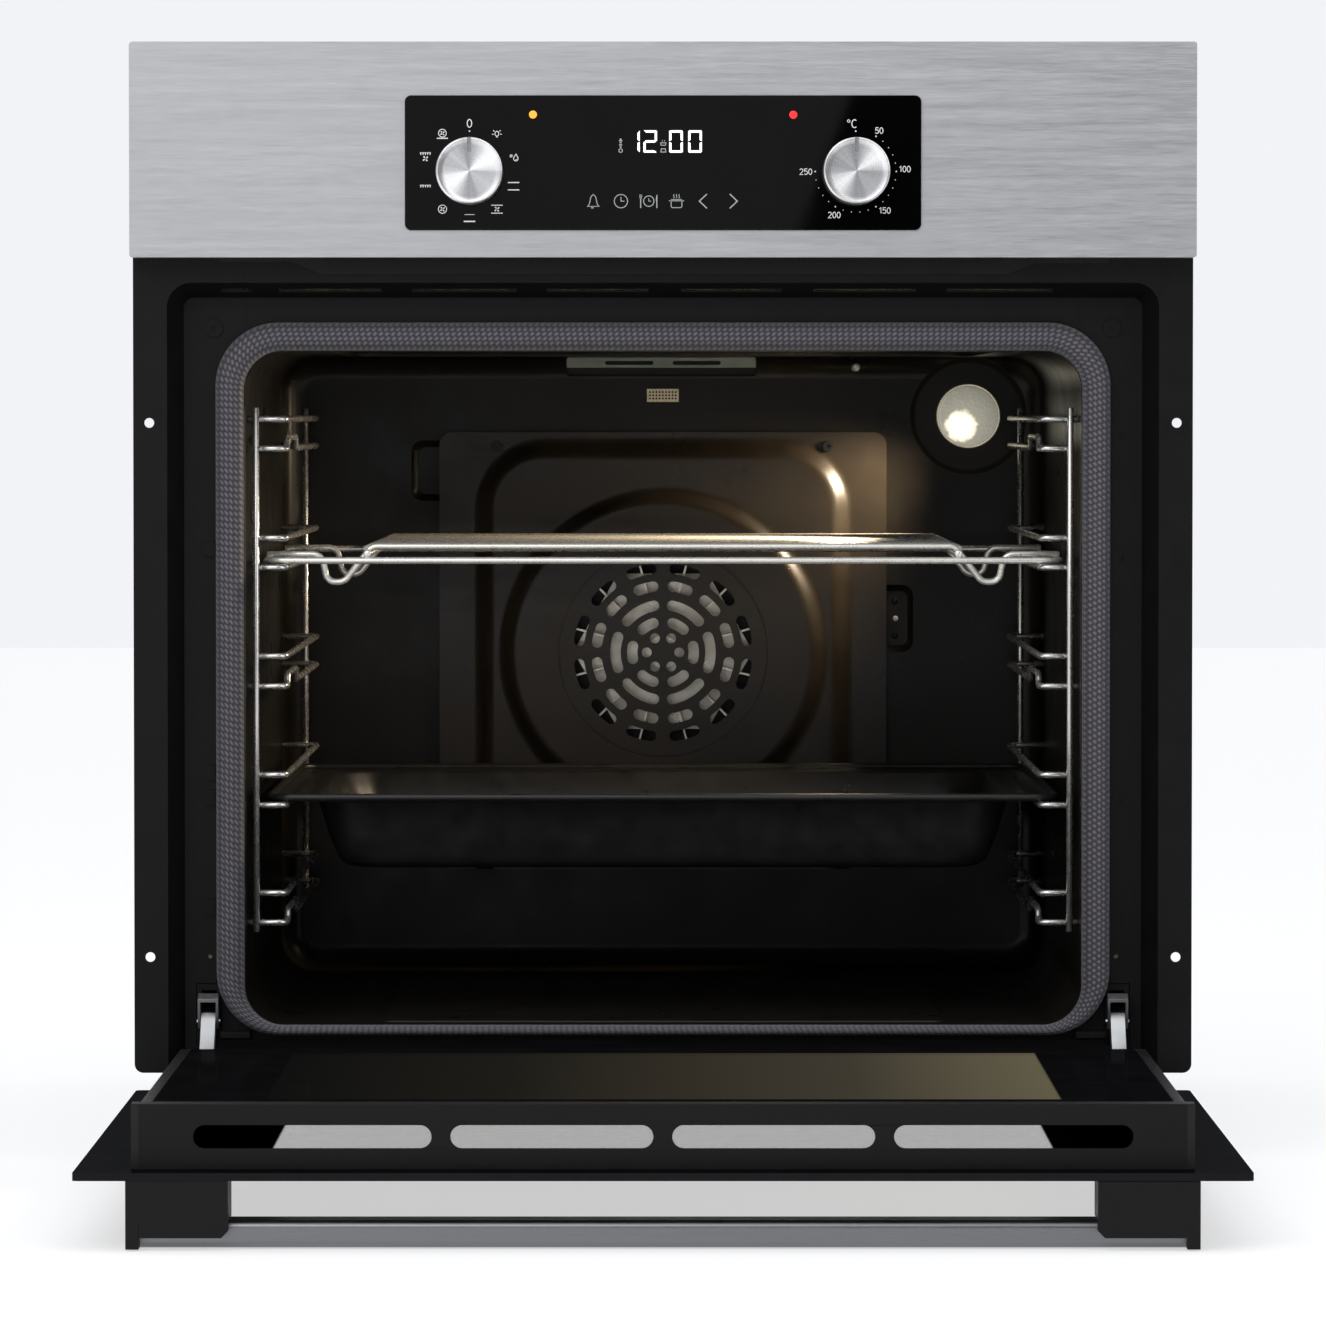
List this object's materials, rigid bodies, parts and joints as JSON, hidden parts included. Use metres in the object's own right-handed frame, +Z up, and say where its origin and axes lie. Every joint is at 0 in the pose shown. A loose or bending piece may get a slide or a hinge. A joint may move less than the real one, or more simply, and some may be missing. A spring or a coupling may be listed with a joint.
{
  "type": "built-in wall oven",
  "caption": "Built-in wall oven with drop-down glass door, bar handle, two knobs, wire side racks, sliding shelf and deep tray, convection fan",
  "frame": {"origin": "the middle of the underside of the base plate, which stands on the niche floor", "axes": "+Z up, the front of the oven faces -Y, +X to the right seen from the front; door open at rest"},
  "size_m": [0.595, 0.992, 0.6277],
  "materials": {
    "galvanised": "zinc-coated sheet steel",
    "frame_enamel": "satin black enamel",
    "cavity_enamel": "glossy dark grey-brown enamel",
    "glass_wool": "glass wool blanket",
    "gasket_braid": "grey-violet braided glass fibre",
    "bright_screw": "nickel-plated steel",
    "heater_sheath": "oxidised heater sheath",
    "motor_steel": "laminated motor core",
    "lamp_ceramic": "lamp holder",
    "bulb_glass": "clear bulb",
    "lens_glass": "pressed glass lens",
    "vent_grey": "grey-green enamel",
    "mesh_beige": "fine mesh",
    "probe_white": "white probe tip",
    "chrome_wire": "bright chromed wire",
    "black_rubber": "black plastic",
    "rivet_black": "black enamelled",
    "zinc_steel": "zinc-plated pressed steel",
    "fascia_steel": "horizontally brushed, anti-fingerprint",
    "control_glass": "black back-printed glass",
    "carrier_plastic": "moulded",
    "circuit_board": "green solder mask",
    "switch_plastic": "thermoset switch body",
    "indicator_orange": "light pipe",
    "terminal_white": "moulded",
    "door_glass": "heat-reflecting glass with black printed border",
    "trim_plastic": "fine-grained black",
    "door_steel": "black coated",
    "handle_steel": "satin brushed lengthwise",
    "knob_steel": "turned face, brushed rim",
    "fan_aluminium": "plain",
    "tray_enamel": "satin black enamel"
  },
  "bodies": {
    "chassis": {"base_plate": "galvanised", "side_panel_left": "galvanised", "side_panel_right": "galvanised", "rear_panel": "galvanised", "top_cover": "galvanised", "front_frame": "frame_enamel", "air_outlet_lip": "frame_enamel", "cavity": "cavity_enamel", "cavity_insulation": "glass_wool", "door_gasket": "gasket_braid", "fan_cover": "cavity_enamel", "fan_cover_screws": "bright_screw", "ring_element": "heater_sheath", "grill_element": "heater_sheath", "bottom_element": "heater_sheath", "fan_motor": "motor_steel", "lamp_housing": "lamp_ceramic", "lamp_bulb": "bulb_glass", "lamp_lens": "lens_glass", "vent_plate": "vent_grey", "steam_mesh": "mesh_beige", "temperature_probe": "probe_white", "rack_left": "chrome_wire", "rack_right": "chrome_wire", "frame_plugs": "black_rubber", "frame_rivets": "rivet_black", "hinge_arm_left": "zinc_steel", "hinge_arm_right": "zinc_steel", "hinge_receivers": "door_steel", "hinge_bumpers": "black_rubber", "duct_plate": "galvanised", "blower_housing": "galvanised", "blower_motor": "motor_steel", "fascia": "fascia_steel", "panel_glass": "control_glass", "panel_carrier": "carrier_plastic", "display_board": "circuit_board", "function_switch": "switch_plastic", "thermostat_switch": "switch_plastic", "indicator_lamps": "indicator_orange", "terminal_block": "terminal_white"},
    "door": {"outer_glass": "door_glass", "inner_glass": "door_glass", "door_trim_top": "trim_plastic", "door_profile_left": "door_steel", "door_profile_right": "door_steel", "door_bottom_trim": "trim_plastic", "hinge_channel_left": "door_steel", "hinge_channel_right": "door_steel", "handle_bar": "handle_steel", "handle_bracket_left": "trim_plastic", "handle_bracket_right": "trim_plastic"},
    "left_knob": {"function_knob": "knob_steel"},
    "right_knob": {"temperature_knob": "knob_steel"},
    "fan": {"convection_fan": "fan_aluminium"},
    "blower": {"blower_wheel": "fan_aluminium"},
    "shelf": {"grid_shelf": "chrome_wire"},
    "tray": {"deep_tray": "tray_enamel"},
    "latch_left": {"hinge_latch_left": "zinc_steel"},
    "latch_right": {"hinge_latch_right": "zinc_steel"}
  },
  "joints": [
    {"name": "door_swing", "type": "hinge", "parent": "chassis", "child": "door", "pos_m": [0, -0.285, 0.03], "axis": [-1, 0, 0], "range_deg": [0, 90]},
    {"name": "function_knob_turn", "type": "hinge", "parent": "chassis", "child": "left_knob", "pos_m": [-0.1074, -0.327, 0.5285], "axis": [0, 1, 0], "continuous": true},
    {"name": "temperature_knob_turn", "type": "hinge", "parent": "chassis", "child": "right_knob", "pos_m": [0.1074, -0.327, 0.5285], "axis": [0, 1, 0], "range_deg": [0, 270]},
    {"name": "shelf_slide", "type": "slide", "parent": "chassis", "child": "shelf", "axis": [0, 1, 0], "range_m": [-0.33, 0]},
    {"name": "tray_slide", "type": "slide", "parent": "chassis", "child": "tray", "axis": [0, 1, 0], "range_m": [-0.33, 0]},
    {"name": "convection_fan_spin", "type": "hinge", "parent": "chassis", "child": "fan", "pos_m": [0, 0.183, 0.2456], "axis": [0, 1, 0], "continuous": true},
    {"name": "blower_spin", "type": "hinge", "parent": "chassis", "child": "blower", "pos_m": [0, 0.033, 0.49], "axis": [0, 0, 1], "continuous": true},
    {"name": "hinge_latch_left_flip", "type": "hinge", "parent": "chassis", "child": "latch_left", "pos_m": [-0.2565, -0.267, 0.051], "axis": [-1, 0, 0], "range_deg": [-60, 0]},
    {"name": "hinge_latch_right_flip", "type": "hinge", "parent": "chassis", "child": "latch_right", "pos_m": [0.2565, -0.267, 0.051], "axis": [-1, 0, 0], "range_deg": [-60, 0]}
  ]
}
